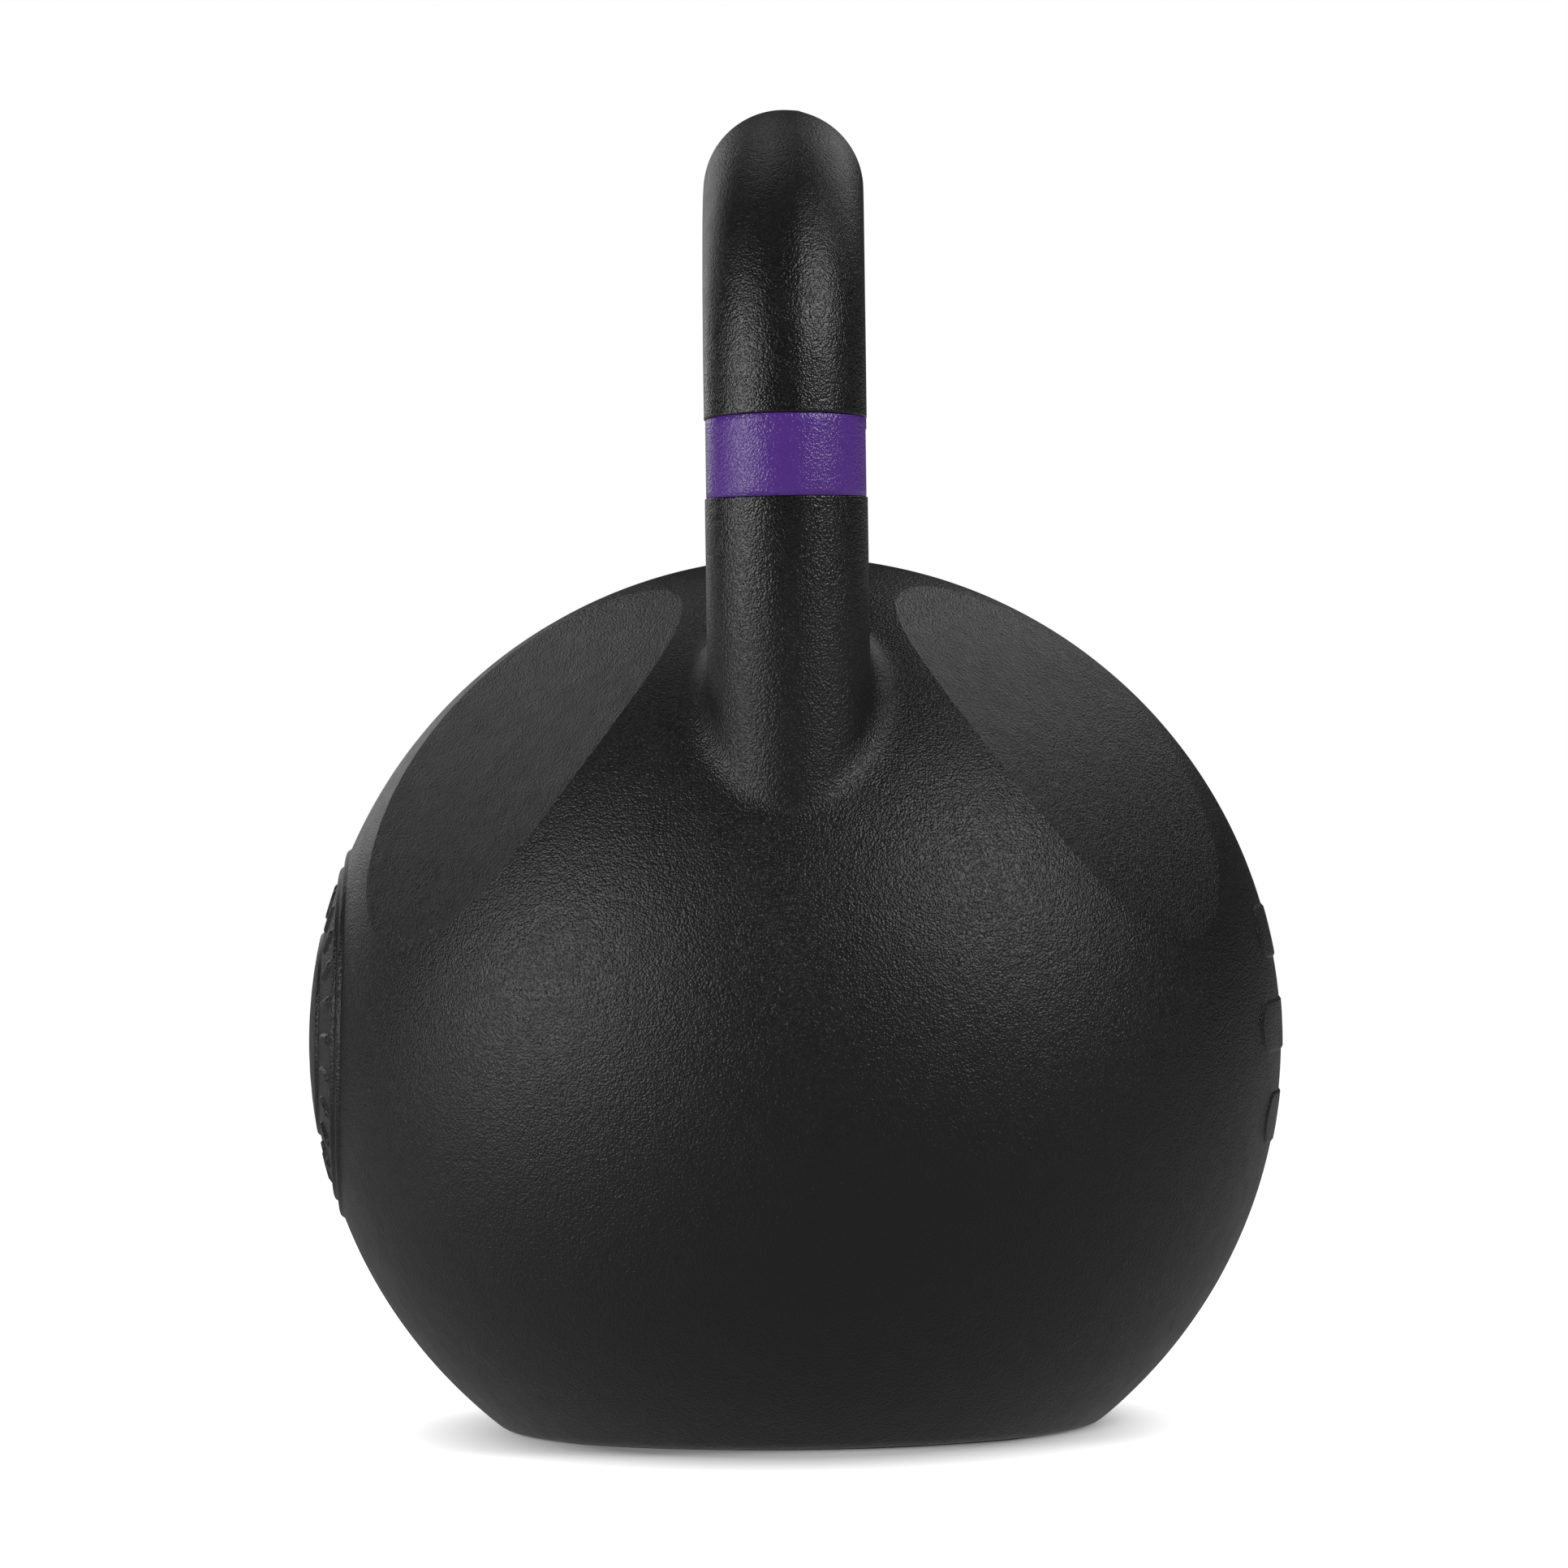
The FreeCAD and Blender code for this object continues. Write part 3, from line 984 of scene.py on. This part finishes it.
def coat_material(looks):
    """Black textured powder coat, glossier on the horns and duller on the grip's top."""
    material, tree, shader = new_material(COAT_MATERIAL)
    place = add_node(tree, "ShaderNodeTexCoord")
    height = split_place(tree, place)["Z"]
    mottle = noise_at(tree, place, MOTTLE_SIZE, 4.0, 0.6)
    coloured(tree, shader, mottle, looks.coat_dark, looks.coat_light)

    horn_share = spread(tree, height, HORN_FINISH, (0.0, 1.0))
    horns = spread(tree, horn_share, (0.0, 1.0), (looks.ball_roughness, looks.grip_roughness))
    dulled = (0.0, looks.top_roughness - looks.grip_roughness)
    base = combine(tree, "ADD", horns, spread(tree, height, TOP_FINISH, dulled))
    drift = spread(tree, noise_at(tree, place, DRIFT_SIZE, 3.0), NOISE_MIDDLE, (-DRIFT, DRIFT))
    tree.links.new(combine(tree, "ADD", base, drift), shader.inputs["Roughness"])

    ripples = bumped(tree, shader, noise_at(tree, place, RIPPLE_SIZE), RIPPLE_HEIGHT)
    grain_share = spread(tree, horn_share, (0.0, 1.0), (1.0, looks.bar_grain_share))
    pebbles = pebble_height(tree, place, looks.grain_size)
    grain = combine(tree, "MULTIPLY", pebbles, grain_share)
    bumped(tree, shader, grain, looks.grain_height, ripples)
    shader.inputs["Specular IOR Level"].default_value = 0.5
    return material


def band_material(looks):
    """Purple coat over the same pebbles, glossier than the black."""
    material, tree, shader = new_material("textured_purple_coat")
    place = add_node(tree, "ShaderNodeTexCoord")
    mottle = noise_at(tree, place, BAND_MOTTLE_SIZE, 3.0)
    coloured(tree, shader, mottle, shaded(looks.band_colour, BAND_SHADE), looks.band_colour)
    worn = noise_at(tree, place, BAND_ROUGHNESS_SIZE)
    rough = spread(tree, worn, NOISE_MIDDLE, BAND_ROUGHNESS)
    tree.links.new(rough, shader.inputs["Roughness"])
    pebbles = pebble_height(tree, place, looks.grain_size)
    bumped(tree, shader, pebbles, looks.grain_height * looks.bar_grain_share)
    return material


def steel_material(looks):
    """Turned steel: fine rings round the plug's axis, under a soft stain."""
    material, tree, shader = new_material("turned_steel")
    place = add_node(tree, "ShaderNodeTexCoord")
    sides = split_place(tree, place)
    squares = [combine(tree, "POWER", sides[axis], 2.0) for axis in "XY"]
    radius = combine(tree, "SQRT", combine(tree, "ADD", *squares), 0.0)
    turns = combine(tree, "MULTIPLY", radius, 2 * math.pi / TURNING_PITCH)
    bumped(tree, shader, combine(tree, "SINE", turns, 0.0), TURNING_HEIGHT)
    stain = noise_at(tree, place, STAIN_SIZE, 4.0, 0.6)
    coloured(tree, shader, stain, shaded(looks.steel_colour, STAIN_SHADE), looks.steel_colour)
    rough = spread(tree, stain, NOISE_MIDDLE, STEEL_ROUGHNESS)
    tree.links.new(rough, shader.inputs["Roughness"])
    shader.inputs["Metallic"].default_value = 1.0
    return material


# ------------------------ the studio

FLOOR_HALF = 8.0
# Painted shadow round the base: the floor's glow rises from nothing to full between these distances from
# the middle, with X squeezed so that the shadow reaches further along X.
FLOOR_SHADOW = (54.0 * MM, 92.0 * MM)
FLOOR_SHADOW_SQUEEZE = (0.66, 1.0, 1.0)
FLOOR_DARK = (0.90, 0.90, 0.90)
FLOOR_LIGHT = (0.93, 0.93, 0.93)
FLOOR_MOTTLE_SIZE = 0.4
SOFTBOX_DISTANCE = 1.2
SOFTBOX_WIDTH = 0.50
SOFTBOX_HEIGHT = 0.55
SOFTBOX_AIM = Vector((0, 0, 0.12))
# Each softbox's setting and its direction in degrees: azimuth from +X, then elevation.
SOFTBOXES = {
    "left": (-55, 18),
    "low_left": (-75, 0),
    "right": (55, 35),
    "rear_left": (-150, 18),
    "rear_right": (150, 35),
    "top": (-160, 60),
}
HORIZON = (-0.05, 0.05)


def floor_material():
    """A pale floor that glows white away from the kettlebell, with a painted shadow round its base where
    the glow fades to nothing.
    """
    material, tree, shader = new_material("pale_floor")
    place = add_node(tree, "ShaderNodeTexCoord")
    squeezed = add_node(tree, "ShaderNodeVectorMath", operation="MULTIPLY")
    squeezed.inputs[1].default_value = FLOOR_SHADOW_SQUEEZE
    distance = add_node(tree, "ShaderNodeVectorMath", operation="LENGTH")
    tree.links.new(place.outputs["Object"], squeezed.inputs[0])
    tree.links.new(squeezed.outputs["Vector"], distance.inputs[0])
    # Painted shadow: the glow is nothing near the base and full further out.
    glow = spread(tree, distance.outputs["Value"], FLOOR_SHADOW, (0.0, 1.0))
    shader.inputs["Emission Color"].default_value = (1.0, 1.0, 1.0, 1.0)
    tree.links.new(glow, shader.inputs["Emission Strength"])
    mottle = noise_at(tree, place, FLOOR_MOTTLE_SIZE)
    coloured(tree, shader, mottle, FLOOR_DARK, FLOOR_LIGHT)
    shader.inputs["Roughness"].default_value = 0.9
    shader.inputs["Specular IOR Level"].default_value = 0.1
    return material


def build_floor():
    """The floor, seen by the camera but not in the coat's reflections."""
    material = floor_material()
    corners = [(-1, -1), (1, -1), (1, 1), (-1, 1)]

    def fill(maker):
        maker.faces.new([maker.verts.new((x * FLOOR_HALF, y * FLOOR_HALF, 0)) for x, y in corners])

    floor = new_piece("floor", fill, material)
    floor.visible_glossy = False
    floor.visible_diffuse = False


def add_softbox(name, power, azimuth, elevation):
    """A soft rectangular light that faces the middle of the kettlebell."""
    lamp = bpy.data.lights.new(name, "AREA")
    lamp.shape = "RECTANGLE"
    lamp.size = SOFTBOX_WIDTH
    lamp.size_y = SOFTBOX_HEIGHT
    lamp.energy = power
    light = bpy.data.objects.new(name, lamp)
    level = math.cos(elevation)
    facing = Vector((level * math.cos(azimuth), level * math.sin(azimuth), math.sin(elevation)))
    light.location = SOFTBOX_AIM + facing * SOFTBOX_DISTANCE
    light.rotation_euler = (-facing).to_track_quat("-Z", "Y").to_euler()
    light.visible_camera = False
    bpy.context.scene.collection.objects.link(light)


def build_world(studio):
    """A pale backdrop. As a light it is the bright floor below and a dim room above."""
    world = bpy.data.worlds.new("studio")
    world.use_nodes = True
    tree = world.node_tree
    tree.nodes.clear()
    output = tree.nodes.new("ShaderNodeOutputWorld")
    seen = add_node(tree, "ShaderNodeBackground", Color=(1, 1, 1, 1), Strength=1.0)
    felt = add_node(tree, "ShaderNodeBackground", Color=(1, 1, 1, 1))
    direction = add_node(tree, "ShaderNodeTexCoord")
    split = add_node(tree, "ShaderNodeSeparateXYZ")
    tree.links.new(direction.outputs["Generated"], split.inputs["Vector"])
    glow = spread(tree, split.outputs["Z"], HORIZON, (studio.floor_glow, studio.room_glow))
    tree.links.new(glow, felt.inputs["Strength"])
    path = tree.nodes.new("ShaderNodeLightPath")
    mix = tree.nodes.new("ShaderNodeMixShader")
    tree.links.new(path.outputs["Is Camera Ray"], mix.inputs["Fac"])
    tree.links.new(felt.outputs["Background"], mix.inputs[1])
    tree.links.new(seen.outputs["Background"], mix.inputs[2])
    tree.links.new(mix.outputs["Shader"], output.inputs["Surface"])
    bpy.context.scene.world = world


def build_camera(studio):
    """A long lens looking along the grip, as high as the upper part of the ball."""
    data = bpy.data.cameras.new("camera")
    camera = bpy.data.objects.new("camera", data)
    data.sensor_width = 36.0
    data.lens = data.sensor_width * studio.camera_distance / studio.frame_width
    data.clip_end = 50.0
    side = studio.aim_side + studio.camera_side
    camera.location = (studio.camera_distance, side, studio.camera_height)
    aim = Vector((0, studio.aim_side, studio.aim_height))
    facing = (aim - camera.location).to_track_quat("-Z", "Y").to_matrix().to_4x4()
    roll = Matrix.Rotation(studio.camera_roll, 4, "Z")
    camera.matrix_world = Matrix.Translation(camera.location) @ facing @ roll
    bpy.context.scene.collection.objects.link(camera)
    bpy.context.scene.camera = camera


# ------------------------ operators


class BuildCasting(bpy.types.Operator):
    """Build the coated casting: ball, horns and grip"""

    bl_idname = "kettlebell.casting"
    bl_label = "Casting"

    def execute(self, context):
        piece = build_casting(context.scene)
        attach(piece, BODY)
        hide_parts(CASTING)
        return {"FINISHED"}


class BuildBadges(bpy.types.Operator):
    """Build the cast relief on both faces of the ball"""

    bl_idname = "kettlebell.badges"
    bl_label = "Badges"

    def execute(self, context):
        casting, badge = context.scene.bell_casting_sizes, context.scene.bell_badge_sizes
        material = bpy.data.materials[COAT_MATERIAL]
        for name, fill in (("ring_badge", fill_ring_badge), ("bar_badge", fill_bar_badge)):
            piece = new_piece(name, lambda maker: fill(maker, casting, badge), material)
            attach(piece, BODY)
        return {"FINISHED"}


class BuildBands(bpy.types.Operator):
    """Build the coloured weight bands"""

    bl_idname = "kettlebell.bands"
    bl_label = "Weight bands"

    def execute(self, context):
        casting, handle = context.scene.bell_casting_sizes, context.scene.bell_handle_sizes
        material = band_material(context.scene.bell_finish_looks)
        for side, node in BANDS.items():
            piece = new_piece(
                node + "_coat", lambda maker: fill_band(maker, casting, handle, side), material
            )
            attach(piece, BODY)
            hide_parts(node)
        return {"FINISHED"}


class FinishPlug(bpy.types.Operator):
    """Give the core plug its turned steel"""

    bl_idname = "kettlebell.plug"
    bl_label = "Core plug"

    def execute(self, context):
        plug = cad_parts[PLUG]
        plug.data.materials.clear()
        plug.data.materials.append(steel_material(context.scene.bell_finish_looks))
        return {"FINISHED"}


class BuildStage(bpy.types.Operator):
    """Build the floor, the lights and the camera"""

    bl_idname = "kettlebell.stage"
    bl_label = "Stage"

    def execute(self, context):
        studio = context.scene.bell_studio_settings
        build_world(studio)
        build_camera(studio)
        build_floor()
        for name, direction in SOFTBOXES.items():
            azimuth, elevation = map(math.radians, direction)
            add_softbox(name + "_softbox", getattr(studio, name + "_power"), azimuth, elevation)
        context.scene.view_settings.view_transform = "Standard"
        return {"FINISHED"}


OPERATORS = (BuildCasting, BuildBadges, BuildBands, FinishPlug, BuildStage)


class KettlebellPanel(bpy.types.Panel):
    """Lists the kettlebell's pieces"""

    bl_idname = "VIEW3D_PT_kettlebell"
    bl_label = "Kettlebell"
    bl_space_type = "VIEW_3D"
    bl_region_type = "UI"
    bl_category = "Kettlebell"

    def draw(self, context):
        for operator in OPERATORS:
            self.layout.operator(operator.bl_idname)


CLASSES = (*SETTINGS.values(), *OPERATORS, KettlebellPanel)


def register():
    """Adds the settings, operators and panel."""
    for kind in CLASSES:
        bpy.utils.register_class(kind)
    for name, kind in SETTINGS.items():
        setattr(bpy.types.Scene, name, PointerProperty(type=kind))


def unregister():
    """Takes the settings, operators and panel away again."""
    for name in SETTINGS:
        delattr(bpy.types.Scene, name)
    for kind in reversed(CLASSES):
        bpy.utils.unregister_class(kind)


def main():
    """Builds every piece in order."""
    register()
    bpy.ops.kettlebell.casting()
    bpy.ops.kettlebell.badges()
    bpy.ops.kettlebell.bands()
    bpy.ops.kettlebell.plug()
    bpy.ops.kettlebell.stage()


if __name__ == "__main__":
    main()
